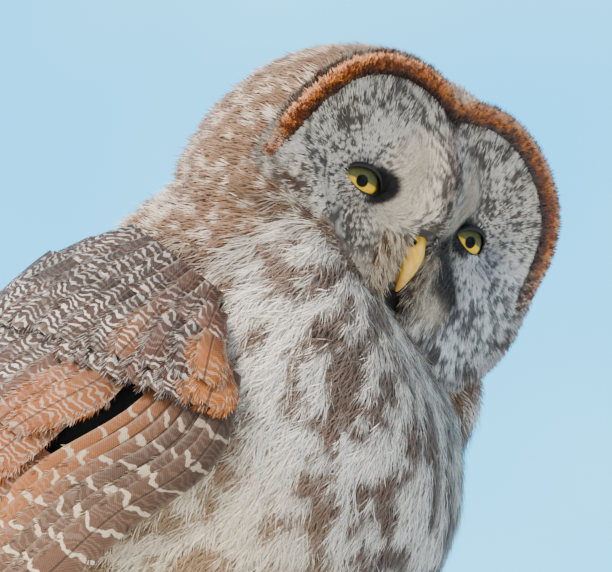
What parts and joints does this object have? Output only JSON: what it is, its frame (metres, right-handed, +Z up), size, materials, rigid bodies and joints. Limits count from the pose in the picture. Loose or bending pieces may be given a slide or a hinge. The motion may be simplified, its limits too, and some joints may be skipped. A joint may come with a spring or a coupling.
{
  "type": "great grey owl",
  "caption": "Life-size great grey owl with its head turned and bowed, perched on a cut branch over a plain oval stand.",
  "frame": {"origin": "centre of the underside of the stand's base", "axes": "+Z up, the owl's body faces -Y, its left is +X"},
  "size_m": [0.29, 0.4512, 0.5665],
  "materials": {
    "face_feathers": "grey and pale finely barred facial disc inside a rust-edged ruff, soft matt feathers",
    "body_feathers": "cream and pale grey loose feathers with dark brown blotches, soft and matt",
    "wing_feathers": "brown coverts with white vermiculation and rusty, pale-barred flight feathers, matt with a slight sheen",
    "tail_feathers": "long brown vanes with mottled grey bars, matt with a slight sheen",
    "leg_feathers": "short, dense cream feathers with tan flecks down to the toes",
    "eye": "yellow iris with a black pupil under a clear wet cornea",
    "bill": "golden yellow horn, satin, paler along the ridge",
    "claw": "black horn, polished by wear, greyer at the root",
    "bark": "rough grey-brown bark with pale cut ends",
    "stand_wood": "dark stained hardwood under a satin varnish",
    "stand_metal": "black satin enamel on steel rod"
  },
  "bodies": {
    "root": {"head": "face_feathers", "neck": "body_feathers", "torso": "body_feathers", "tail": "tail_feathers", "bill_upper": "bill", "bill_lower": "bill", "perch": "bark", "stand_base": "stand_wood", "eye_right": "eye", "wing_right": "wing_feathers", "leg_right": "leg_feathers", "foot_right": "leg_feathers", "stand_rod_right": "stand_metal", "claw_right_inner": "claw", "claw_right_middle": "claw", "claw_right_outer": "claw", "claw_right_hind": "claw", "eye_left": "eye", "wing_left": "wing_feathers", "leg_left": "leg_feathers", "foot_left": "leg_feathers", "stand_rod_left": "stand_metal", "claw_left_inner": "claw", "claw_left_middle": "claw", "claw_left_outer": "claw", "claw_left_hind": "claw"}
  },
  "joints": []
}
